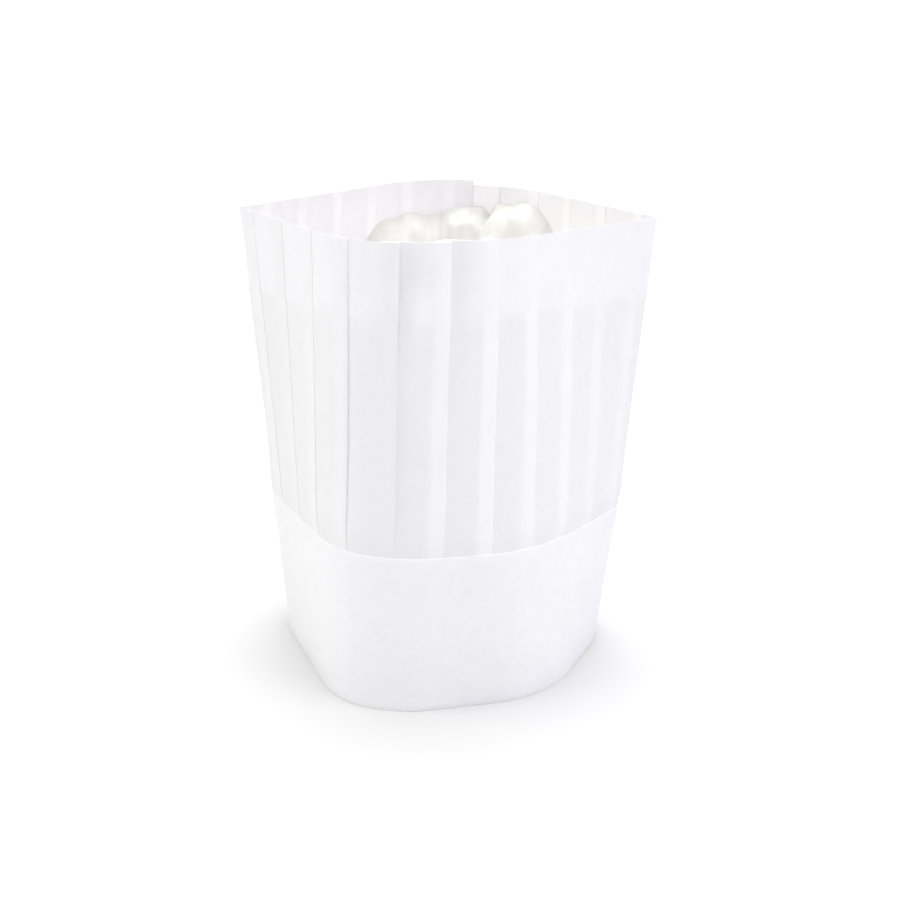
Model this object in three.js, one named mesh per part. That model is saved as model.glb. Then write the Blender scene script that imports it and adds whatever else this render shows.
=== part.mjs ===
// A tall disposable chef hat: a paper band round the head, a wall of knife pleats above it and a
// gathered tissue crown inside. Millimetres, +Z up. The front faces -Y, +X is the viewer's right,
// and the hat rests on the foot edge of its band at z = 0.
import * as THREE from "three";

// Driving dimensions
const HEAD_ROUND = 580; // length of the strip that goes round the head
const HAT_HEIGHT = 254;
const BAND_HEIGHT = 88;
const BAND_WALL = 1.2;
const BAND_LAP = 24; // stretch at the back where the band's ends overlap
const BAND_LAP_RISE = 0.8; // how far the upper end stands off the lower one
const PLEATS = 22;
const SHEET = 1; // one layer of the pleated sheet, so its threefold stretches are 3 mm
const PLEAT_LAP = 10; // how far a pleat's two hidden layers reach back from its crease
const CREASE_OVERHANG = 2; // how far a crease stands over the valley that it hides
const TUCK = 14; // how far the pleats reach down inside the band
const FLARE = 8; // height above the band in which the pressed pleats open
const RIM_STEP = 2.5; // the sheet's ends meet this much out of level at the back seam
const RIM_STEP_FADE = 160; // distance from the seam at which the rim is level again
const SEAM_START = 7; // where along the strip the sheet's inner end shows, from the crease before
const CROWN_DEPTH = 42; // from the rim down to the crown's edge, where no puff lifts it
const CROWN_SAG = 12; // from the crown's edge down to its middle
const CROWN_WALL = 1.4;
const CROWN_GATHERS = 22;
const GATHER_HEIGHT = 2.4;
const GAP = 0.3; // clearance between neighbouring pieces

// Sizes that follow
const PITCH = HEAD_ROUND / PLEATS;
const DEEPEST = 3 * SHEET + (2 * SHEET * PLEAT_LAP) / PITCH; // outer face to a hidden inner fold
const TUCK_INSET = BAND_WALL + GAP;

// How finely curves are divided
const ARC_STEPS = 16;
const BAND_COLUMNS = 96;
const BAND_ROWS = 4;
const CROWN_SPOKES = 88;
const CROWN_RINGS = 11;
const NORMAL_REACH = 2.5; // half the chord that gives the strip's direction
const CROWN_REACH = 5; // half the chord that rounds the crown's edge off at the side creases

// Plan of the strip at three heights, from the foot up: a rounded polygon with a row for each
// bend, counter-clockwise. seamShift is how far the back seam lies along the strip from the
// middle of the back bend.
const PLANS = [
  {
    z: 0,
    seamShift: -16,
    bends: [
      { at: "back", x: 5.5, y: 103.5, radius: 60 },
      { at: "left side", x: -105.5, y: 47.5, radius: 65 },
      { at: "front left", x: -45.5, y: -106.5, radius: 48 },
      { at: "front right", x: 63.5, y: -72.5, radius: 70 },
      { at: "right side", x: 112.5, y: 41.5, radius: 65 },
    ],
  },
  {
    z: BAND_HEIGHT,
    seamShift: -15,
    bends: [
      { at: "back", x: 5.5, y: 98.5, radius: 56 },
      { at: "left side", x: -114.5, y: 32.5, radius: 48 },
      { at: "front left", x: -45.5, y: -102.5, radius: 53 },
      { at: "front right", x: 53.5, y: -76.5, radius: 105 },
      { at: "right side", x: 114.5, y: 11.5, radius: 33 },
    ],
  },
  {
    z: HAT_HEIGHT,
    seamShift: -12,
    bends: [
      { at: "back", x: 8.5, y: 113.5, radius: 62 },
      { at: "left side crease", x: -111.5, y: -15.5, radius: 1.5 },
      { at: "front left", x: -42.5, y: -96.5, radius: 50 },
      { at: "front right", x: 24.5, y: -78.5, radius: 110 },
      { at: "right side crease", x: 111.5, y: -4.5, radius: 1.5 },
    ],
  },
];

// One pleat across the wall: a row for each line where a face turns. along is measured from the
// crease before, depth from the strip's face, and steps is how often the stretch up to the next
// row is divided.
const THIN_END = PITCH - PLEAT_LAP;
const PLEAT_LINES = [
  { line: "valley", outAlong: -CREASE_OVERHANG, outDepth: 2, inAlong: -0.5, inDepth: 3, steps: 4 },
  { line: "single layer ends", outAlong: 15.2, outDepth: 0.8, inAlong: THIN_END - 0.5, inDepth: 1.8, steps: 1 },
  { line: "hidden fold", outAlong: 17, outDepth: 0.65, inAlong: THIN_END, inDepth: DEEPEST / SHEET, steps: 2 },
  { line: "crease", outAlong: PITCH, outDepth: 0, inAlong: 22.8, inDepth: 3.25, steps: 1 },
];

// How the pleats open from the band to the rim: a row for each height. inset is how far the
// whole wall lies inside the strip's face.
const WALL_LEVELS = [
  { z: BAND_HEIGHT - TUCK, inset: TUCK_INSET, outRelief: 0.3, inRelief: 0.8 },
  { z: BAND_HEIGHT, inset: TUCK_INSET, outRelief: 0.3, inRelief: 0.8 },
  { z: BAND_HEIGHT + FLARE, inset: 0, outRelief: 1, inRelief: 1 },
  { z: 140, inset: 0, outRelief: 1, inRelief: 1 },
  { z: 180, inset: 0, outRelief: 1, inRelief: 1 },
  { z: 220, inset: 0, outRelief: 1, inRelief: 1 },
  { z: HAT_HEIGHT, inset: 0, outRelief: 1, inRelief: 1 },
];

// Puffs of the crumpled crown: a row for each, with its middle, half width and height. The first
// eight make a bank of tissue against the back wall, on top of one broad rise.
const CROWN_PUFFS = [
  { at: "left end of the bank", x: -39, y: 59, spread: 12, lift: 21 },
  { at: "back left", x: -22, y: 69, spread: 13, lift: 20 },
  { at: "back", x: -4, y: 76, spread: 13, lift: 19 },
  { at: "back at the seam", x: 14, y: 76, spread: 13, lift: 20 },
  { at: "back right", x: 31, y: 70, spread: 13, lift: 20 },
  { at: "highest", x: 46, y: 60, spread: 13, lift: 23 },
  { at: "right end of the bank", x: 58, y: 49, spread: 10, lift: 12 },
  { at: "past its end", x: 77, y: 30, spread: 12, lift: 4 },
  { at: "right", x: 62, y: 2, spread: 20, lift: 8 },
  { at: "left", x: -64, y: 10, spread: 20, lift: 9 },
  { at: "front left", x: -34, y: -48, spread: 22, lift: 9 },
  { at: "front right", x: 30, y: -42, spread: 24, lift: 8 },
  { at: "middle", x: 0, y: 12, spread: 30, lift: 6 },
];
const CROWN_RISE = { x: 34, y: 60, spread: 30, lift: 6 };

// Closed outline of a rounded polygon, from the middle of its first bend
function roundedOutline(bends) {
  const points = [];
  bends.forEach((bend, i) => {
    const corner = new THREE.Vector2(bend.x, bend.y);
    const before = bends[(i + bends.length - 1) % bends.length];
    const after = bends[(i + 1) % bends.length];
    const toBefore = new THREE.Vector2(before.x, before.y).sub(corner).normalize();
    const toAfter = new THREE.Vector2(after.x, after.y).sub(corner).normalize();
    const half = Math.acos(toBefore.dot(toAfter)) / 2;
    const setback = bend.radius / Math.tan(half);
    const middle = toBefore.clone().add(toAfter).normalize().multiplyScalar(bend.radius / Math.sin(half)).add(corner);
    const start = toBefore.multiplyScalar(setback).add(corner).sub(middle);
    const turn = Math.PI - 2 * half;
    for (let k = 0; k <= ARC_STEPS; k += 1) {
      const arm = start.clone().rotateAround(new THREE.Vector2(), (turn * k) / ARC_STEPS);
      points.push(arm.add(middle));
    }
  });
  const firstHalf = points.splice(0, ARC_STEPS / 2);
  return [...points, ...firstHalf];
}

// The plan as a function of the distance along the strip from the back seam
function stripCurve(plan) {
  const outline = roundedOutline(plan.bends);
  const reached = [0];
  outline.forEach((point, i) => {
    reached.push(reached[i] + point.distanceTo(outline[(i + 1) % outline.length]));
  });
  const scale = HEAD_ROUND / reached[outline.length];
  return (along) => {
    const wanted = THREE.MathUtils.euclideanModulo(along + plan.seamShift, HEAD_ROUND) / scale;
    let i = 0;
    while (i < outline.length - 1 && reached[i + 1] <= wanted) i += 1;
    const part = (wanted - reached[i]) / (reached[i + 1] - reached[i]);
    const next = outline[(i + 1) % outline.length];
    return outline[i].clone().lerp(next, part).multiplyScalar(scale);
  };
}

const curves = PLANS.map(stripCurve);

// Point of the strip's face at a distance from the back seam and a height
function facePoint(along, z) {
  const upper = z > BAND_HEIGHT ? 2 : 1;
  const low = PLANS[upper - 1].z;
  const part = (z - low) / (PLANS[upper].z - low);
  return curves[upper - 1](along).lerp(curves[upper](along), part);
}

// Unit vector square to the strip, pointing into the hat, from a chord across the place
function inward(along, z, reach) {
  const chord = facePoint(along + reach, z).sub(facePoint(along - reach, z)).normalize();
  return new THREE.Vector2(-chord.y, chord.x);
}

// Point of the strip moved in by a depth
function insetPoint(along, z, depth) {
  return facePoint(along, z).add(inward(along, z, NORMAL_REACH).multiplyScalar(depth));
}

// Point of the crown's edge: the middle of a chord of the strip, moved clear of the folds
function crownEdge(along, z) {
  const chordMiddle = facePoint(along + CROWN_REACH, z).lerp(facePoint(along - CROWN_REACH, z), 0.5);
  return chordMiddle.add(inward(along, z, CROWN_REACH).multiplyScalar(DEEPEST + GAP));
}

const at = (point, z) => new THREE.Vector3(point.x, point.y, z);

// Named mesh of one closed body, from its vertices and its triangles
function closedMesh(name, vertices, triangles, material) {
  const geometry = new THREE.BufferGeometry().setFromPoints(vertices);
  geometry.setIndex(triangles);
  geometry.computeVertexNormals();
  const mesh = new THREE.Mesh(geometry, material);
  mesh.name = name;
  return mesh;
}

// Standing ring between an outer and an inner face. outer and inner hold a row of points for
// each level, from the foot up, all counter-clockwise and equally long.
function standingRing(name, outer, inner, material) {
  const around = outer[0].length;
  const vertices = [...outer.flat(), ...inner.flat()];
  const outerAt = (level, i) => level * around + (i % around);
  const innerAt = (level, i) => (outer.length + level) * around + (i % around);
  const triangles = [];
  const quad = (a, b, c, d) => triangles.push(a, b, c, a, c, d);
  const top = outer.length - 1;
  for (let i = 0; i < around; i += 1) {
    for (let level = 0; level < top; level += 1) {
      quad(outerAt(level, i), outerAt(level, i + 1), outerAt(level + 1, i + 1), outerAt(level + 1, i));
      quad(innerAt(level, i + 1), innerAt(level, i), innerAt(level + 1, i), innerAt(level + 1, i + 1));
    }
    quad(innerAt(0, i), innerAt(0, i + 1), outerAt(0, i + 1), outerAt(0, i));
    quad(outerAt(top, i + 1), innerAt(top, i + 1), innerAt(top, i), outerAt(top, i));
  }
  return closedMesh(name, vertices, triangles, material);
}

// The smooth band, whose upper end laps over the lower one at the back
function headband(material) {
  const outer = [];
  const inner = [];
  for (let row = 0; row <= BAND_ROWS; row += 1) {
    const z = (BAND_HEIGHT * row) / BAND_ROWS;
    const outerRow = [];
    const innerRow = [];
    for (let column = 0; column < BAND_COLUMNS; column += 1) {
      const along = (HEAD_ROUND * column) / BAND_COLUMNS;
      const beforeSeam = column === 0 ? HEAD_ROUND : HEAD_ROUND - along;
      const lapped = Math.max(0, 1 - beforeSeam / BAND_LAP);
      outerRow.push(at(insetPoint(along, z, -BAND_LAP_RISE * lapped), z));
      innerRow.push(at(insetPoint(along, z, BAND_WALL), z));
    }
    outer.push(outerRow);
    inner.push(innerRow);
  }
  return standingRing("headband", outer, inner, material);
}

// All the lines of the pleats, once round the strip
function pleatColumns() {
  const columns = [];
  for (let pleat = 0; pleat < PLEATS; pleat += 1) {
    PLEAT_LINES.forEach((line, i) => {
      const next = PLEAT_LINES[Math.min(i + 1, PLEAT_LINES.length - 1)];
      for (let step = 0; step < line.steps; step += 1) {
        const part = step / line.steps;
        const between = (key) => THREE.MathUtils.lerp(line[key], next[key], part);
        columns.push({
          outAlong: pleat * PITCH + between("outAlong"),
          inAlong: pleat * PITCH + between("inAlong"),
          outDepth: SHEET * between("outDepth"),
          inDepth: SHEET * between("inDepth"),
        });
      }
    });
  }
  return columns;
}

// How far the rim stands above or below its mean height: half a step up after the seam and
// half a step down before it, fading out along the strip
function rimRise(along) {
  const afterSeam = THREE.MathUtils.euclideanModulo(along - SEAM_START, HEAD_ROUND);
  const up = Math.max(0, 1 - afterSeam / RIM_STEP_FADE);
  const down = Math.max(0, 1 - (HEAD_ROUND - afterSeam) / RIM_STEP_FADE);
  return (RIM_STEP / 2) * (up - down);
}

// The pleated wall, pressed flatter where it goes down inside the band
function pleatedWall(material) {
  const columns = pleatColumns();
  const rowAt = (level, alongKey, depthKey, relief) =>
    columns.map((column) => {
      const along = column[alongKey];
      const depth = level.inset + level[relief] * column[depthKey];
      const rise = level.z === HAT_HEIGHT ? rimRise(column.outAlong) : 0;
      return at(insetPoint(along, level.z, depth), level.z + rise);
    });
  const outer = WALL_LEVELS.map((level) => rowAt(level, "outAlong", "outDepth", "outRelief"));
  const inner = WALL_LEVELS.map((level) => rowAt(level, "inAlong", "inDepth", "inRelief"));
  return standingRing("pleated_wall", outer, inner, material);
}

// Height of a puff over a point: a smooth hill
function hill(puff, point) {
  const away = Math.hypot(point.x - puff.x, point.y - puff.y) / puff.spread;
  return puff.lift * Math.exp(-away * away);
}

// Height of the crown's upper face: it sags to its middle, in radial gathers, with puffs on top
function crownHeight(point, out, turn) {
  const gather = Math.sin(Math.PI * out) * Math.cos(2 * Math.PI * CROWN_GATHERS * turn);
  const puffs = CROWN_PUFFS.reduce((sum, puff) => sum + hill(puff, point), hill(CROWN_RISE, point));
  return HAT_HEIGHT - CROWN_DEPTH - CROWN_SAG * (1 - out * out) + GATHER_HEIGHT * gather + puffs;
}

// The tissue crown: a gathered sheet across the hat, just clear of the wall's hidden folds
function crownTop(material) {
  const edgeZ = HAT_HEIGHT - CROWN_DEPTH;
  const middle = new THREE.Vector2();
  const upper = [];
  for (let ring = 1; ring <= CROWN_RINGS; ring += 1) {
    const out = ring / CROWN_RINGS;
    for (let spoke = 0; spoke < CROWN_SPOKES; spoke += 1) {
      const turn = spoke / CROWN_SPOKES;
      const level = middle.clone().lerp(crownEdge(turn * HEAD_ROUND, edgeZ), out);
      const z = crownHeight(level, out, turn);
      upper.push(at(middle.clone().lerp(crownEdge(turn * HEAD_ROUND, z), out), z));
    }
  }
  upper.push(at(middle, crownHeight(middle, 0, 0)));
  const lower = upper.map((point) => new THREE.Vector3(point.x, point.y, point.z - CROWN_WALL));
  const index = (ring, spoke) => ring * CROWN_SPOKES + (spoke % CROWN_SPOKES);
  const hub = upper.length - 1;
  const under = upper.length;
  const triangles = [];
  const bothFaces = (a, b, c) => triangles.push(a, b, c, under + a, under + c, under + b);
  for (let spoke = 0; spoke < CROWN_SPOKES; spoke += 1) {
    bothFaces(hub, index(0, spoke), index(0, spoke + 1));
    for (let ring = 0; ring < CROWN_RINGS - 1; ring += 1) {
      bothFaces(index(ring, spoke), index(ring + 1, spoke), index(ring + 1, spoke + 1));
      bothFaces(index(ring, spoke), index(ring + 1, spoke + 1), index(ring, spoke + 1));
    }
    const a = index(CROWN_RINGS - 1, spoke);
    const b = index(CROWN_RINGS - 1, spoke + 1);
    triangles.push(under + a, under + b, b, under + a, b, a);
  }
  return closedMesh("crown_top", [...upper, ...lower], triangles, material);
}

// Materials
const whitePaper = new THREE.MeshStandardMaterial({ color: 0xf4f4f7, roughness: 0.85, metalness: 0 });
const pleatPaper = new THREE.MeshStandardMaterial({ color: 0xf6f6f9, roughness: 0.8, metalness: 0 });
const creamTissue = new THREE.MeshStandardMaterial({ color: 0xf1ede2, roughness: 0.9, metalness: 0 });

const hat = new THREE.Group();
hat.add(headband(whitePaper), pleatedWall(pleatPaper), crownTop(creamTissue));

export default hat;
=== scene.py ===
import math
from collections import namedtuple

import bpy
import numpy as np
from mathutils import Matrix, Vector


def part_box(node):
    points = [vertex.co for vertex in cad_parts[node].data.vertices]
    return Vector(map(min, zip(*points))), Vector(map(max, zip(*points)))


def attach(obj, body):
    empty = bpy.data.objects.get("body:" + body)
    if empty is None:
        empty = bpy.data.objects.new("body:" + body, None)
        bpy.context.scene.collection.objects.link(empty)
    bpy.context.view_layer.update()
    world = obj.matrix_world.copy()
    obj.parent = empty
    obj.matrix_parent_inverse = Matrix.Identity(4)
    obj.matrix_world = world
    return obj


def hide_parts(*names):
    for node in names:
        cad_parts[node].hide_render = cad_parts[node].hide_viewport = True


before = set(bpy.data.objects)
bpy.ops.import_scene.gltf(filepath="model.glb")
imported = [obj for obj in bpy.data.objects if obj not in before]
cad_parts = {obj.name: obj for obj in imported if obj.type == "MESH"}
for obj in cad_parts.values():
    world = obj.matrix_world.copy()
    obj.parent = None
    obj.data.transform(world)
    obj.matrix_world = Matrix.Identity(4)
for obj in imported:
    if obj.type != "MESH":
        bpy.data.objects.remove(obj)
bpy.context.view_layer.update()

# Shapes are worked out in millimetres and stored in metres. The front faces -Y.
MM = 0.001
BAND_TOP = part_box("headband")[1].z / MM
WALL_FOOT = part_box("pleated_wall")[0].z / MM

# Driving dimensions of the hat, in millimetres
HEAD_ROUND = 580.0
HAT_HEIGHT = 254.0
PLEATS = 22
PITCH = HEAD_ROUND / PLEATS
PLEAT_LAP = 8.5           # how far the hidden layers reach back from a crease
LAYER = 0.11              # from one folded layer to the next, air included
SHEET = 0.08              # thickness of the pleated sheet
BAND_SHEET = 0.5          # the band's doubled paper
BAND_LAP = 22.0           # the band's ends overlap at the back
BAND_LAP_RISE = 0.7
TUCK_INSET = BAND_SHEET - 0.12  # the wall's face is glued this far inside the strip's face in the band
OPEN_INSET = -0.4         # and this far above the band, where the pleats stand out a little
FLARE = 9.0               # the pressed pleats open over this height above the band
SEAM_START = 7.0          # the sheet starts this far past the last crease, inside the hat
SEAM_LAP = 5.0            # and its other end is glued over it, outside
RIM_STEP = 2.5
RIM_STEP_FADE = 160.0
CROWN_EDGE = HAT_HEIGHT - 42.0
CROWN_SAG = 12.0
CROWN_GAP = 0.1           # the tissue's edge is glued this close to the wall's inner folds
CROWN_SHEET = 0.25
CROWN_LEVEL_EDGE = 0.1    # the tissue runs level over this last part of its way to the wall

# Plan of the strip at three heights: rounded polygons, counter-clockwise from the back bend
Bend = namedtuple("Bend", "x y radius")
Plan = namedtuple("Plan", "z seam_shift bends")
PLANS = [
    Plan(0.0, -16.0, [
        Bend(5.5, 103.5, 60.0), Bend(-105.5, 47.5, 65.0), Bend(-45.5, -106.5, 48.0),
        Bend(63.5, -72.5, 70.0), Bend(112.5, 41.5, 65.0),
    ]),
    Plan(88.0, -15.0, [
        Bend(5.5, 98.5, 56.0), Bend(-114.5, 32.5, 48.0), Bend(-45.5, -102.5, 53.0),
        Bend(53.5, -76.5, 105.0), Bend(114.5, 11.5, 33.0),
    ]),
    Plan(HAT_HEIGHT, -12.0, [
        Bend(8.5, 113.5, 62.0), Bend(-111.5, -15.5, 1.5), Bend(-42.5, -96.5, 50.0),
        Bend(24.5, -78.5, 110.0), Bend(111.5, -4.5, 1.5),
    ]),
]
ARC_STEPS = 48
NORMAL_REACH = 2.5

# Creases that stand open more than the others: number from the back seam, height of the middle, reach
# up and down, and how much more
Lifted = namedtuple("Lifted", "crease z reach more")
LIFTED_CREASES = [
    Lifted(4, 240, 16, 4.0),
    Lifted(9, 120, 40, 0.8),
    Lifted(10, 170, 90, 2.6),
    Lifted(11, 228, 26, 24.0),
    Lifted(11, 150, 70, 5.0),
    Lifted(12, 236, 46, 24.0),
    Lifted(12, 130, 50, 1.8),
    Lifted(13, 140, 60, 1.6),
    Lifted(14, 140, 60, 1.0),
    Lifted(22, 232, 30, 4.0),
    Lifted(22, 200, 70, 2.0),
]
LIFT_WIDTH = 9.0          # half width of a lifted crease along the strip

# The pleats are pressed a little out of step here: middle, half width and shift along the strip
Drift = namedtuple("Drift", "along width shift")
DRIFTS = [Drift(436, 62, -4.2)]

# The laps whose three layers lie closer together than in the other pleats, or further apart
LAP_CLOSENESS = {8: 0.4, 9: 0.4, 10: 0.15, 11: 0.65, 12: 0.75, 13: 0.6, 14: 0.55, 15: 0.45}

# Soft upright folds of the band, and of the wall's foot in it: middle, half width and how far out
Fold = namedtuple("Fold", "along width out")
BAND_FOLDS = [Fold(264, 11, 1.0), Fold(293, 14, -0.5), Fold(357, 14, 0.8)]
BAND_FOLDS_TOP = 150.0

# Soft dents in the wall's face: distance past a crease, height, half width, half height and depth
Dent = namedtuple("Dent", "crease past z width height depth")
DENTS = [
    Dent(7, 12, 180, 14, 34, 0.5),
    Dent(11, 7, 234, 9, 16, 2.6),
    Dent(11, 14, 120, 12, 30, 0.5),
    Dent(12, 7, 228, 9, 28, 2.0),
    Dent(16, 10, 170, 14, 30, 0.5),
]

# Soft waves of the paper: height, seed of the random waves, shortest and longest wave
Ripple = namedtuple("Ripple", "height seed shortest longest")
WALL_SWAY = [Ripple(0.15, 21, 70, 160), Ripple(0.05, 31, 18, 40)]
OPENING_SWAY = [Ripple(0.15, 11, 60, 140)]
SHIFT_SWAY = [Ripple(0.4, 41, 90, 200)]
BAND_SWAY = [Ripple(0.3, 51, 60, 150), Ripple(0.08, 61, 15, 35)]
BAND_SWAY_OUT = 0.6       # the band's waves go no further out than this
BAND_SWAY_IN = 0.25

# Swells of the crumpled crown: middle, half width and height. The first eight bank up against the back
Puff = namedtuple("Puff", "x y spread lift")
CROWN_PUFFS = [
    Puff(-39, 59, 12, 21),
    Puff(-22, 69, 13, 20),
    Puff(-4, 76, 13, 19),
    Puff(14, 76, 13, 20),
    Puff(31, 70, 13, 20),
    Puff(46, 60, 13, 23),
    Puff(58, 49, 10, 12),
    Puff(77, 30, 12, 4),
    Puff(62, 2, 20, 8),
    Puff(-64, 10, 20, 9),
    Puff(-34, -48, 22, 9),
    Puff(30, -42, 24, 8),
    Puff(0, 12, 30, 6),
]
CROWN_PINCH = Puff(20, 65, 5, -4)  # small hollow between two swells of the roll
CROWN_RISE = Puff(34, 60, 30, 6)   # broad lift of the tissue at the back right


# Plan curves

def rounded_outline(bends):
    """Closed polyline of a rounded polygon, from the middle of its first bend."""
    points = []
    for i, bend in enumerate(bends):
        corner = np.array([bend.x, bend.y])
        before = bends[i - 1]
        after = bends[(i + 1) % len(bends)]
        to_before = np.array([before.x, before.y]) - corner
        to_after = np.array([after.x, after.y]) - corner
        to_before /= np.linalg.norm(to_before)
        to_after /= np.linalg.norm(to_after)
        half = math.acos(to_before @ to_after) / 2
        bisector = (to_before + to_after) / np.linalg.norm(to_before + to_after)
        middle = corner + bisector * bend.radius / math.sin(half)
        arm = corner + to_before * bend.radius / math.tan(half) - middle
        turns = (math.pi - 2 * half) * np.linspace(0, 1, ARC_STEPS + 1)
        cos, sin = np.cos(turns), np.sin(turns)
        points.append(middle + np.c_[cos * arm[0] - sin * arm[1], sin * arm[0] + cos * arm[1]])
    line = np.concatenate(points)
    return np.roll(line, -(ARC_STEPS // 2), axis=0)


def strip_table(plan):
    """Distances from the back seam and the points there, for one plan, over one round."""
    line = rounded_outline(plan.bends)
    line = np.vstack([line, line[:1]])
    reached = np.r_[0, np.cumsum(np.hypot(*np.diff(line, axis=0).T))]
    scale = HEAD_ROUND / reached[-1]
    return reached * scale, line * scale, plan.seam_shift


TABLES = [strip_table(plan) for plan in PLANS]


def plan_point(level, along):
    reached, line, shift = TABLES[level]
    wanted = np.mod(along + shift, HEAD_ROUND)
    return np.stack([np.interp(wanted, reached, line[:, 0]), np.interp(wanted, reached, line[:, 1])], -1)


def face_point(along, z):
    """Point of the strip's face in plan, at a distance from the back seam and a height."""
    points = [plan_point(level, along) for level in range(len(PLANS))]
    low = np.clip(z / PLANS[1].z, 0, 1)[..., None]
    high = np.clip((z - PLANS[1].z) / (HAT_HEIGHT - PLANS[1].z), 0, None)[..., None]
    lower = points[0] * (1 - low) + points[1] * low
    return lower * (1 - high) + points[2] * high


def folded_out(along, z):
    """How far the soft upright folds of the band stand out, fading towards the open wall."""
    total = sum(fold.out * np.exp(-np.abs(along - fold.along) / fold.width) for fold in BAND_FOLDS)
    return total * (1 - smooth((z - PLANS[1].z) / (BAND_FOLDS_TOP - PLANS[1].z)))


def inset_point(along, z, depth, reach=NORMAL_REACH):
    """The same point moved into the hat by a depth, as x, y and z."""
    along, z, depth = np.broadcast_arrays(along, z, depth - folded_out(along, z))
    chord = face_point(along + reach, z) - face_point(along - reach, z)
    chord /= np.linalg.norm(chord, axis=-1, keepdims=True)
    flat = face_point(along, z) + np.stack([-chord[..., 1], chord[..., 0]], -1) * depth[..., None]
    return np.concatenate([flat, z[..., None]], -1)


# Small irregularities of soft paper

WAVES = 14
LEAN = 0.6                # how far the waves lean as they rise, in each of two crossing fields
SECOND_LEAN = -0.8
FIELD_SHARE = 0.7         # two fields of this share each make about unit height together


def ripples(u, v, seed, shortest, longest):
    """Smooth random field of about unit height: a sum of plane waves."""
    random = np.random.default_rng(seed)
    total = np.zeros(np.broadcast(u, v).shape)
    for _ in range(WAVES):
        heading = random.uniform(0, 2 * math.pi)
        wave = 2 * math.pi / random.uniform(shortest, longest)
        start = random.uniform(0, 2 * math.pi)
        total += np.sin(wave * (u * math.cos(heading) + v * math.sin(heading)) + start)
    return total / math.sqrt(WAVES / 2)


def swayed(along, z, waves):
    """Sum of ripples over the strip. They join up where it closes, as they are read off a circle."""
    radius = HEAD_ROUND / (2 * math.pi)
    turn = along / radius
    x, y = radius * np.cos(turn), radius * np.sin(turn)
    total = 0
    for wave in waves:
        first = ripples(x + LEAN * z, y, wave.seed, wave.shortest, wave.longest)
        second = ripples(x, y + SECOND_LEAN * z, wave.seed + 1, wave.shortest, wave.longest)
        total = total + wave.height * FIELD_SHARE * (first + second)
    return total


def smooth(x):
    x = np.clip(x, 0, 1)
    return x * x * (3 - 2 * x)


# Meshes

def mesh_piece(name, vertices, faces, material):
    mesh = bpy.data.meshes.new(name)
    mesh.from_pydata([tuple(v) for v in np.asarray(vertices) * MM], [], faces)
    mesh.polygons.foreach_set("use_smooth", [True] * len(mesh.polygons))
    mesh.update()
    mesh.materials.append(material)
    piece = bpy.data.objects.new(name, mesh)
    bpy.context.scene.collection.objects.link(piece)
    return piece


def grid_faces(rows, columns, closed, start=0, flip=False):
    """Quads of a grid stored row by row. closed joins the last column to the first."""
    faces = []
    last = columns if closed else columns - 1
    for row in range(rows - 1):
        for column in range(last):
            following = (column + 1) % columns
            a = start + row * columns + column
            b = start + row * columns + following
            quad = (a, b, b + columns, a + columns)
            faces.append(quad[::-1] if flip else quad)
    return faces


def thin_shell(name, outer, inner, closed, material):
    """Closed sheet between two grids of points, with its four edges (or two, if it is closed)."""
    rows, columns = outer.shape[:2]
    count = rows * columns
    faces = grid_faces(rows, columns, closed) + grid_faces(rows, columns, closed, count, flip=True)
    last = columns if closed else columns - 1
    top = count - columns
    for column in range(last):
        following = (column + 1) % columns
        faces.append((column, column + count, following + count, following))
        faces.append((top + following, top + following + count, top + column + count, top + column))
    if not closed:
        for row in range(rows - 1):
            a = row * columns
            faces.append((a, a + columns, a + columns + count, a + count))
            b = a + columns - 1
            faces.append((b + count, b + columns + count, b + columns, b))
    vertices = np.concatenate([outer.reshape(-1, 3), inner.reshape(-1, 3)])
    return mesh_piece(name, vertices, faces, material)


# The pleated wall: one sheet folded back and forth, from one raw end at the back seam to the other

RISE_STEPS = 8
LAP_STEPS = 4
LAP_BLUR = 1.0            # width of the change from one layer to three, to each side
HIDDEN_STEPS = 3
FOLD_STEPS = 4
SEAM_STEPS = 5
CLOSENESS_SEED = 5
USUAL_CLOSENESS = (0.25, 0.7)
TUCK_OPENING = 0.7        # the folds are pressed this tight inside the band, as a share
WALL_ROWS = 59
WALL_LAST_ROW = 0.0004    # share of the height; so narrow that the cut edge doesn't round off the shading


def panel_depth(along, start, foot):
    """Depth of a panel's middle line: it rises from its foot past a start, and lies flat on its lap."""
    return foot * LAYER * (1 - smooth((along - start) / (PITCH - PLEAT_LAP - start)))


def fold_arc(along, depth, side):
    """Half turn of the sheet's middle line round a fold, going in."""
    angles = np.linspace(0, math.pi, FOLD_STEPS + 2)[1:-1]
    half = LAYER / 2
    return [(along + side * half * math.sin(t), depth + half * (1 - math.cos(t)), 1) for t in angles]


def panel_line(pleat, closeness):
    """Middle line of a panel's visible face. The last number says how closely three layers lie."""
    first = SEAM_START if pleat == 0 else 0.0
    start, foot = (SEAM_START + SEAM_LAP, 3) if pleat == 0 else (0.0, 2)
    lap_edge = PITCH - PLEAT_LAP
    single = np.linspace(first, lap_edge - LAP_BLUR, RISE_STEPS + 1)
    lap = np.linspace(lap_edge + LAP_BLUR, PITCH, LAP_STEPS + 1)
    line = [(pleat * PITCH + a, panel_depth(a, start, foot), 0) for a in single]
    return line + [(pleat * PITCH + a, panel_depth(a, start, foot), closeness) for a in lap]


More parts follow.
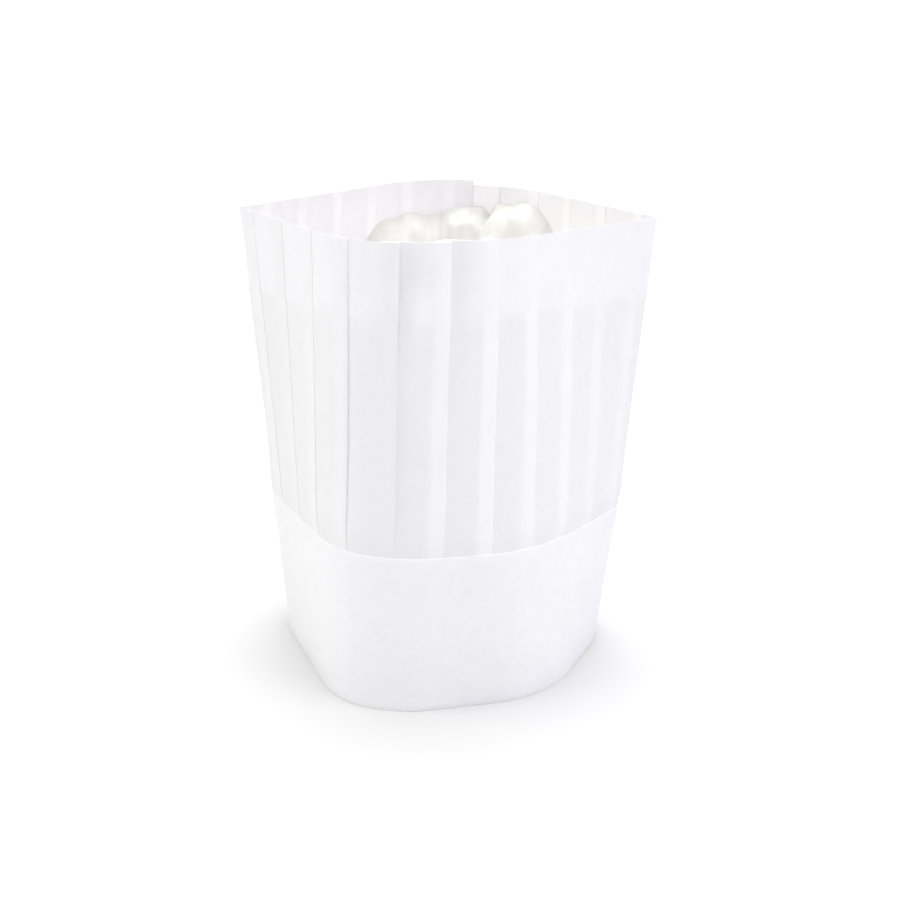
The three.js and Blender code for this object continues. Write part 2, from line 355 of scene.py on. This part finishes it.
def sheet_path():
    """Middle line of the whole folded sheet: distance from the back seam, depth, and how lapped."""
    path = []
    usual = np.random.default_rng(CLOSENESS_SEED).uniform(*USUAL_CLOSENESS, PLEATS)
    for pleat in range(PLEATS):
        crease = (pleat + 1) * PITCH
        path += panel_line(pleat, LAP_CLOSENESS.get(pleat, usual[pleat]))
        path += fold_arc(crease, 0, 1)
        for step in range(HIDDEN_STEPS + 1):
            path.append((crease - PLEAT_LAP * step / HIDDEN_STEPS, LAYER, 1))
        path += fold_arc(crease - PLEAT_LAP, LAYER, -1)
        for step in range(HIDDEN_STEPS):
            path.append((crease - PLEAT_LAP * (1 - step / HIDDEN_STEPS), 2 * LAYER, 1))
    for step in range(SEAM_STEPS + 1):
        path.append((HEAD_ROUND + (SEAM_START + SEAM_LAP) * step / SEAM_STEPS, 2 * LAYER, 1))
    return np.array(path)


def rim_rise(along):
    """The sheet's two ends meet out of level at the back seam, and the rim levels out from there."""
    up = np.clip(1 - (along - SEAM_START) / RIM_STEP_FADE, 0, 1)
    down = np.clip(1 - (HEAD_ROUND + SEAM_START - along) / RIM_STEP_FADE, 0, 1)
    return RIM_STEP / 2 * (up - down)


def bell(along, z, middle, height, wide, tall):
    """Smooth bump of height 1 on the wall's face."""
    away = np.mod(along - middle + HEAD_ROUND / 2, HEAD_ROUND) - HEAD_ROUND / 2
    return np.exp(-(away / wide) ** 2 - ((z - height) / tall) ** 2)


def wall_inset(along, z, above_band):
    """How deep the wall's outermost layer lies inside the strip's face, with its dents and sways."""
    depth = OPEN_INSET - TUCK_INSET + swayed(along, z, WALL_SWAY)
    for dent in DENTS:
        middle = dent.crease * PITCH + dent.past
        depth = depth + dent.depth * bell(along, z, middle, dent.z, dent.width, dent.height)
    return TUCK_INSET + depth * above_band


def wall_opening(along, z, above_band):
    """How far apart the folded layers stand, as a share of LAYER."""
    opening = 1 + swayed(along, 0.5 * z, OPENING_SWAY)
    for lift in LIFTED_CREASES:
        crease = lift.crease * PITCH
        opening = opening + lift.more * bell(along, z, crease, lift.z, LIFT_WIDTH, lift.reach)
    return TUCK_OPENING + (opening - TUCK_OPENING) * above_band


def wall_shift(along, z, above_band):
    """How far the pleats stray along the strip from their even spacing."""
    shift = above_band * swayed(along, z, SHIFT_SWAY)
    for drift in DRIFTS:
        shift = shift + drift.shift * np.exp(-((along - drift.along) / drift.width) ** 2)
    return shift


def pleated_wall(material):
    path = sheet_path()
    middle, lapped = path[:, :2], path[:, 2]
    tangent = np.gradient(middle, axis=0)
    tangent /= np.hypot(*tangent.T)[:, None]
    normal = np.c_[-tangent[:, 1], tangent[:, 0]]
    part = np.append(np.linspace(0, 1 - WALL_LAST_ROW, WALL_ROWS - 1), 1)[:, None]
    grids = []
    for side in (-1, 1):
        line = middle + normal * side * SHEET / 2
        along, depth = line[None, :, 0], line[None, :, 1]
        top = HAT_HEIGHT + rim_rise(middle[None, :, 0])
        z = WALL_FOOT + (top - WALL_FOOT) * part
        above_band = smooth((z - BAND_TOP + BAND_SHEET / 2) / FLARE)
        shift = wall_shift(along, z, above_band)
        fold = wall_opening(along, z, above_band) * depth
        inset = wall_inset(along, z, above_band)
        grids.append(inset_point(along + shift, z, SHEET / 2 + inset + fold))
    outer, inner = grids
    piece = thin_shell("pleated_wall_sheet", outer, inner, False, material)
    layers = piece.data.attributes.new("lapped", "FLOAT", "POINT")
    layers.data.foreach_set("value", np.tile(lapped, 2 * WALL_ROWS))
    return piece


# The headband: doubled paper with folded edges, lapped at the back

BAND_COLUMNS = 360
BAND_ROWS = 30
BAND_EDGE_STEPS = 6
BAND_FLAT_FOOT = 12.0     # the band's foot runs level and true up to about this height
BAND_HUG = 55.0           # above this height the band comes to lie close against the wall in it


def band_profile():
    """Closed upright section of the band: height and depth, up the outside and down the inside."""
    half = BAND_SHEET / 2
    straight = np.linspace(half, BAND_TOP - half, BAND_ROWS + 1)
    turn = np.linspace(0, math.pi, BAND_EDGE_STEPS + 1)[1:-1]
    outside = [(z, 0.0) for z in straight]
    top = [(BAND_TOP - half + half * math.sin(t), half - half * math.cos(t)) for t in turn]
    inside = [(z, BAND_SHEET) for z in straight[::-1]]
    foot = [(half - half * math.sin(t), half + half * math.cos(t)) for t in turn]
    return np.array(outside + top + inside + foot)


def headband(material):
    profile = band_profile()
    along = np.linspace(0, HEAD_ROUND, BAND_COLUMNS, endpoint=False)[None, :]
    z, depth = profile[:, 0:1], profile[:, 1:2]
    sway = smooth(z / BAND_FLAT_FOOT) * swayed(along, z, BAND_SWAY)
    sway = np.clip(sway, -BAND_SWAY_OUT, BAND_SWAY_IN)
    sway = sway * (1 - smooth((z - BAND_HUG) / (BAND_TOP - BAND_HUG)))
    lapped = np.clip(1 - (HEAD_ROUND - along) / BAND_LAP, 0, 1) ** 0.5
    points = inset_point(along, z, depth + sway - BAND_LAP_RISE * lapped * (depth < BAND_SHEET / 2))
    rows = len(profile)
    faces = grid_faces(rows, BAND_COLUMNS, True)
    last = (rows - 1) * BAND_COLUMNS
    for column in range(BAND_COLUMNS):
        following = (column + 1) % BAND_COLUMNS
        faces.append((last + column, last + following, following, column))
    return mesh_piece("headband_paper", points.reshape(-1, 3), faces, material)


# The crown: crumpled tissue, gathered from the wall to the middle

CROWN_SPOKES = 480
CROWN_RINGS = 67
CROWN_LAST_RING = 0.0008  # share of the way out, as narrow as the wall's last row
CROWN_GATHERS = 58
CROWN_LEVEL_FROM = 0.8    # share of the way out where the tissue turns towards its level edge
RING_SPREAD = 0.8         # under 1, so that the rings lie closer together towards the edge
GATHER_HEIGHT = 1.5
GATHER_MEAN = 0.6         # what the gathers' height is counted from
GATHER_WANDER = Ripple(1.0, 71, 30, 70)
GATHERS_FROM = 0.4        # shares of the way out where the gathers begin and are full
GATHERS_FULL = 0.9
GATHERS_HELD = 0.5        # the glued edge holds back this share of the gathers
EDGE_HOLD = 0.7           # and this share of all the fine shape, in a narrow strip
EDGE_HOLD_POWER = 40
LATTICE = 64              # corners to each side of the table of a crumple's random heights
LATTICE_BEND = 0.3        # how far the lattice is bent out of square, as a share of its size

# Crumples of the tissue: height, seed of the random corners and size of the triangles
Crumple = namedtuple("Crumple", "height seed size")
CRUMPLES = [Crumple(2.4, 241, 14), Crumple(1.3, 251, 7), Crumple(0.7, 261, 3.6)]
BENDS_ALONG_X = [Crumple(4.0, 201, 13), Crumple(1.6, 211, 6)]
BENDS_ALONG_Y = [Crumple(4.0, 221, 13), Crumple(1.6, 231, 6)]


def creased(x, y, seed, size):
    """Height of crumpled tissue, from -1 to 1: triangles of about one size that meet in sharp folds.
    They come from a lattice with a random height at each corner, turned and bent out of square."""
    random = np.random.default_rng(seed)
    heights = random.uniform(-1, 1, (LATTICE, LATTICE))
    turn = random.uniform(0, math.pi)
    across = x + LATTICE_BEND * size * ripples(x, y, seed + 1, 3 * size, 6 * size)
    down = y + LATTICE_BEND * size * ripples(x, y, seed + 2, 3 * size, 6 * size)
    u = (across * math.cos(turn) - down * math.sin(turn)) / size
    v = (across * math.sin(turn) + down * math.cos(turn)) / size
    i, j = np.floor(u).astype(int), np.floor(v).astype(int)
    f, g = u - i, v - j
    mirrored = (i + j) % 2 == 1
    f = np.where(mirrored, 1 - f, f)
    near, far = np.where(mirrored, i + 1, i), np.where(mirrored, i, i + 1)
    corner = heights[near % LATTICE, j % LATTICE]
    beside = heights[far % LATTICE, j % LATTICE]
    above = heights[near % LATTICE, (j + 1) % LATTICE]
    across_from = heights[far % LATTICE, (j + 1) % LATTICE]
    lower = corner + f * (beside - corner) + g * (above - corner)
    upper = across_from + (1 - f) * (above - across_from) + (1 - g) * (beside - across_from)
    return np.where(f + g < 1, lower, upper)


def crumpled(x, y, crumples):
    return sum(crumple.height * creased(x, y, crumple.seed, crumple.size) for crumple in crumples)


def crown_height(x, y, out, turn):
    """Height of the tissue: gathered at the wall, swollen in a roll along the back, crumpled all over."""
    sag = CROWN_SAG * (1 - out ** 2)
    wander = ripples(x, y, GATHER_WANDER.seed, GATHER_WANDER.shortest, GATHER_WANDER.longest)
    gather = np.abs(np.sin(math.pi * CROWN_GATHERS * turn + GATHER_WANDER.height * wander)) - GATHER_MEAN
    gathered = smooth((out - GATHERS_FROM) / (GATHERS_FULL - GATHERS_FROM))
    gathered = gathered * (1 - GATHERS_HELD * smooth((out - GATHERS_FULL) / (1 - GATHERS_FULL)))
    bent_x = x + crumpled(x, y, BENDS_ALONG_X)
    bent_y = y + crumpled(x, y, BENDS_ALONG_Y)
    swell = 0
    for puff in CROWN_PUFFS + [CROWN_PINCH, CROWN_RISE]:
        reach = np.hypot(bent_x - puff.x, bent_y - puff.y) / puff.spread
        swell = swell + puff.lift * np.exp(-reach ** 2)
    hold = 1 - EDGE_HOLD * out ** EDGE_HOLD_POWER
    fine = GATHER_HEIGHT * gathered * gather + crumpled(x, y, CRUMPLES)
    return CROWN_EDGE - sag + swell + hold * fine


def crown_edge(along, z):
    """Where the tissue meets the wall's inner face, with its folds."""
    unshifted = np.mod(along - wall_shift(along, z, 1), HEAD_ROUND)
    past_crease = np.mod(unshifted, PITCH)
    lap_edge = PITCH - PLEAT_LAP
    panel = panel_depth(past_crease, 0.0, 2)
    first_panel = panel_depth(past_crease, SEAM_START + SEAM_LAP, 3)
    depth = np.where(unshifted < PITCH, first_panel, panel)
    depth = np.where(past_crease > lap_edge, 2 * LAYER, depth)
    folds = depth * wall_opening(along, z, 1) + SHEET
    return inset_point(along, z, wall_inset(along, z, 1) + folds + CROWN_GAP)[..., :2]


def crown(material):
    """Thin tissue over the whole opening: rings of points round a middle point, above and below."""
    turn = np.linspace(0, 1, CROWN_SPOKES, endpoint=False)[None, :]
    inner_rings = (np.arange(1, CROWN_RINGS) / (CROWN_RINGS - 1)) ** RING_SPREAD
    out = np.append(inner_rings * (1 - CROWN_LAST_RING), 1)[:, None]
    edge = crown_edge(turn * HEAD_ROUND, np.array(CROWN_EDGE))
    middle = edge.mean(axis=1, keepdims=True)
    level = out - CROWN_LEVEL_EDGE * smooth((out - CROWN_LEVEL_FROM) / (1 - CROWN_LEVEL_FROM))
    flat = middle + (edge - middle) * level[..., None]
    z = crown_height(flat[..., 0], flat[..., 1], out, turn)
    edge = crown_edge(turn * HEAD_ROUND, z)
    flat = middle + (edge - middle) * out[..., None]
    upper = np.concatenate([flat, z[..., None]], -1).reshape(-1, 3)
    top = np.append(middle[0, 0], upper[:CROWN_SPOKES, 2].mean())
    thin = np.array([0, 0, CROWN_SHEET])
    vertices = np.vstack([upper, top, upper - thin, top - thin])
    count = len(upper) + 1
    faces = grid_faces(CROWN_RINGS, CROWN_SPOKES, True, flip=True)
    faces += grid_faces(CROWN_RINGS, CROWN_SPOKES, True, start=count)
    rim = count - 1 - CROWN_SPOKES
    for spoke in range(CROWN_SPOKES):
        following = (spoke + 1) % CROWN_SPOKES
        faces.append((spoke, following, count - 1))
        faces.append((count + following, count + spoke, 2 * count - 1))
        faces.append((rim + following, rim + spoke, rim + spoke + count, rim + following + count))
    return mesh_piece("crown_tissue_sheet", vertices, faces, material)


# Materials: slot, light and shade of the pressed paper, light that passes, and fineness of the fibres

Paper = namedtuple("Paper", "slot light shade through fibre")
PLEAT_PAPER = Paper("pleat_paper", (0.965, 0.96, 0.976), (0.946, 0.941, 0.957), 0.15, 900)
BAND_PAPER = Paper("band_paper", (0.936, 0.931, 0.951), (0.916, 0.911, 0.931), 0.05, 900)
CROWN_TISSUE = Paper("crown_tissue", (0.82, 0.808, 0.777), (0.795, 0.783, 0.751), 0.2, 1400)
LAP_THROUGH = 0.03        # share of the light that passes where three layers lie together

FIBRE_STRETCH = (1, 1, 0.35)
FIBRE_SHARE = 0.6         # how strongly the fibres count beside the clouds
FIBRE_DETAIL = 6
FIBRE_ROUGHNESS = 0.65
CLOUD_SCALE = 160
CLOUD_DETAIL = 3
SHADE_FROM = 0.62         # of the summed pattern
LIGHT_FROM = 0.98
RELIEF = 0.5
RELIEF_HEIGHT = 0.0003
PAPER_ROUGHNESS = 0.8
PAPER_SPECULAR = 0.25
PAPER_SHEEN = 0.15
PAPER_SHEEN_ROUGHNESS = 0.5

FLOOR_GREY = 0.625
FLOOR_ROUGHNESS = 0.9
FLOOR_SPECULAR = 0.1


def node(tree, kind, place, **values):
    made = tree.nodes.new(kind)
    made.location = place
    for key, value in values.items():
        setattr(made, key, value)
    return made


def fibre_pattern(tree, fibre):
    """Fine stretched fibres, and their sum with soft clouds."""
    link = tree.links.new
    place = node(tree, "ShaderNodeTexCoord", (-1200, 0))
    threads = node(tree, "ShaderNodeMapping", (-1000, 150))
    threads.inputs["Scale"].default_value = FIBRE_STRETCH
    link(place.outputs["Object"], threads.inputs["Vector"])
    fibres = node(tree, "ShaderNodeTexNoise", (-800, 150))
    fibres.inputs["Scale"].default_value = fibre
    fibres.inputs["Detail"].default_value = FIBRE_DETAIL
    fibres.inputs["Roughness"].default_value = FIBRE_ROUGHNESS
    link(threads.outputs["Vector"], fibres.inputs["Vector"])
    clouds = node(tree, "ShaderNodeTexNoise", (-800, -150))
    clouds.inputs["Scale"].default_value = CLOUD_SCALE
    clouds.inputs["Detail"].default_value = CLOUD_DETAIL
    link(place.outputs["Object"], clouds.inputs["Vector"])
    both = node(tree, "ShaderNodeMath", (-600, 0), operation="MULTIPLY_ADD")
    both.inputs[1].default_value = FIBRE_SHARE
    link(fibres.outputs["Fac"], both.inputs[0])
    link(clouds.outputs["Fac"], both.inputs[2])
    return fibres.outputs["Fac"], both.outputs["Value"]


def paper_material(paper, lapped=False):
    """Soft non-woven paper: pressed fibres in its colour and relief, and light that shines through.
    With lapped, the mesh says where three layers lie together and less light passes."""
    material = bpy.data.materials.new(paper.slot)
    material.use_nodes = True
    tree = material.node_tree
    tree.nodes.clear()
    link = tree.links.new
    fibres, pattern = fibre_pattern(tree, paper.fibre)
    tint = node(tree, "ShaderNodeValToRGB", (-400, 150))
    tint.color_ramp.elements[0].position = SHADE_FROM
    tint.color_ramp.elements[0].color = (*paper.shade, 1)
    tint.color_ramp.elements[1].position = LIGHT_FROM
    tint.color_ramp.elements[1].color = (*paper.light, 1)
    link(pattern, tint.inputs["Fac"])
    bump = node(tree, "ShaderNodeBump", (-400, -200))
    bump.inputs["Strength"].default_value = RELIEF
    bump.inputs["Distance"].default_value = RELIEF_HEIGHT
    link(fibres, bump.inputs["Height"])
    face = node(tree, "ShaderNodeBsdfPrincipled", (-100, 150))
    face.inputs["Roughness"].default_value = PAPER_ROUGHNESS
    face.inputs["Specular IOR Level"].default_value = PAPER_SPECULAR
    face.inputs["Sheen Weight"].default_value = PAPER_SHEEN
    face.inputs["Sheen Roughness"].default_value = PAPER_SHEEN_ROUGHNESS
    link(tint.outputs["Color"], face.inputs["Base Color"])
    link(bump.outputs["Normal"], face.inputs["Normal"])
    glow = node(tree, "ShaderNodeBsdfTranslucent", (-100, -250))
    link(tint.outputs["Color"], glow.inputs["Color"])
    link(bump.outputs["Normal"], glow.inputs["Normal"])
    mixed = node(tree, "ShaderNodeMixShader", (200, 0))
    mixed.inputs["Fac"].default_value = paper.through
    link(face.outputs["BSDF"], mixed.inputs[1])
    link(glow.outputs["BSDF"], mixed.inputs[2])
    if lapped:
        closeness = node(tree, "ShaderNodeAttribute", (-600, 400), attribute_name="lapped")
        through = node(tree, "ShaderNodeMath", (0, 350), operation="MULTIPLY_ADD")
        through.inputs[1].default_value = LAP_THROUGH - paper.through
        through.inputs[2].default_value = paper.through
        link(closeness.outputs["Fac"], through.inputs[0])
        link(through.outputs["Value"], mixed.inputs["Fac"])
    output = node(tree, "ShaderNodeOutputMaterial", (400, 0))
    link(mixed.outputs["Shader"], output.inputs["Surface"])
    return material


def floor_material():
    material = bpy.data.materials.new("pale_floor")
    material.use_nodes = True
    shader = material.node_tree.nodes["Principled BSDF"]
    shader.inputs["Base Color"].default_value = (FLOOR_GREY, FLOOR_GREY, FLOOR_GREY, 1)
    shader.inputs["Roughness"].default_value = FLOOR_ROUGHNESS
    shader.inputs["Specular IOR Level"].default_value = FLOOR_SPECULAR
    return material


# Stage and light

FLOOR_HALF = 14.0
WORLD_STRENGTH = 0.448
WORLD_COLOUR = (0.925, 0.925, 1.0, 1)

# Soft distant lights. azimuth 0 comes from the front, 90 from the viewer's right
Sun = namedtuple("Sun", "name strength spread azimuth elevation colour")
SUNS = [
    Sun("side_left", 0.83, 40, -84, 33, (1, 0.99, 0.84)),
    Sun("side_right", 0.75, 40, 70, 35, (0.99, 0.98, 1)),
    Sun("above", 2.45, 60, 0, 85, (1, 1, 1)),
    Sun("behind", 1.45, 60, 180, 55, (1, 1, 1)),
]


def build_floor():
    mesh = bpy.data.meshes.new("floor")
    h = FLOOR_HALF
    mesh.from_pydata([(-h, -h, 0), (h, -h, 0), (h, h, 0), (-h, h, 0)], [], [(0, 1, 2, 3)])
    mesh.materials.append(floor_material())
    floor = bpy.data.objects.new("floor", mesh)
    bpy.context.scene.collection.objects.link(floor)


def build_sun(sun):
    data = bpy.data.lights.new(sun.name, "SUN")
    data.energy = sun.strength
    data.angle = math.radians(sun.spread)
    data.color = sun.colour
    light = bpy.data.objects.new(sun.name, data)
    a, e = math.radians(sun.azimuth), math.radians(sun.elevation)
    towards = Vector((math.sin(a) * math.cos(e), -math.cos(a) * math.cos(e), math.sin(e)))
    light.rotation_euler = towards.to_track_quat("Z", "Y").to_euler()
    bpy.context.scene.collection.objects.link(light)


def build_light():
    world = bpy.data.worlds.new("studio")
    world.use_nodes = True
    background = world.node_tree.nodes["Background"]
    background.inputs["Color"].default_value = WORLD_COLOUR
    background.inputs["Strength"].default_value = WORLD_STRENGTH
    bpy.context.scene.world = world
    for sun in SUNS:
        build_sun(sun)
    bpy.context.scene.view_settings.view_transform = "Standard"


# The camera: the photograph's view, measured by fitting it to the hat's outline and folds

CAMERA_TARGET = Vector((4.54, -16.5, 121.88)) * MM
CAMERA_DISTANCE = 0.8749
CAMERA_ELEVATION = math.radians(19.67)
CAMERA_ROLL = math.radians(1.88)
CAMERA_LENS = 62.81
SENSOR = 36.0
SIGHT_END = 100


def build_camera():
    data = bpy.data.cameras.new("camera")
    data.lens = CAMERA_LENS
    data.sensor_width = SENSOR
    data.clip_end = SIGHT_END
    camera = bpy.data.objects.new("camera", data)
    e, roll = CAMERA_ELEVATION, CAMERA_ROLL
    back = Vector((0, -math.cos(e), math.sin(e)))
    right = Vector((1, 0, 0))
    up = Vector((0, math.sin(e), math.cos(e)))
    tilted_right = right * math.cos(roll) + up * math.sin(roll)
    tilted_up = up * math.cos(roll) - right * math.sin(roll)
    turn = Matrix((tilted_right, tilted_up, back)).transposed()
    camera.matrix_world = Matrix.Translation(CAMERA_TARGET + back * CAMERA_DISTANCE) @ turn.to_4x4()
    bpy.context.scene.collection.objects.link(camera)
    bpy.context.scene.camera = camera


# The stage, and the three pieces, each in place of the part it stands for

build_camera()
build_light()
build_floor()

wall = pleated_wall(paper_material(PLEAT_PAPER, lapped=True))
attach(wall, "root")
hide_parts("pleated_wall")

band = headband(paper_material(BAND_PAPER))
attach(band, "root")
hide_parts("headband")

top = crown(paper_material(CROWN_TISSUE))
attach(top, "root")
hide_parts("crown_top")
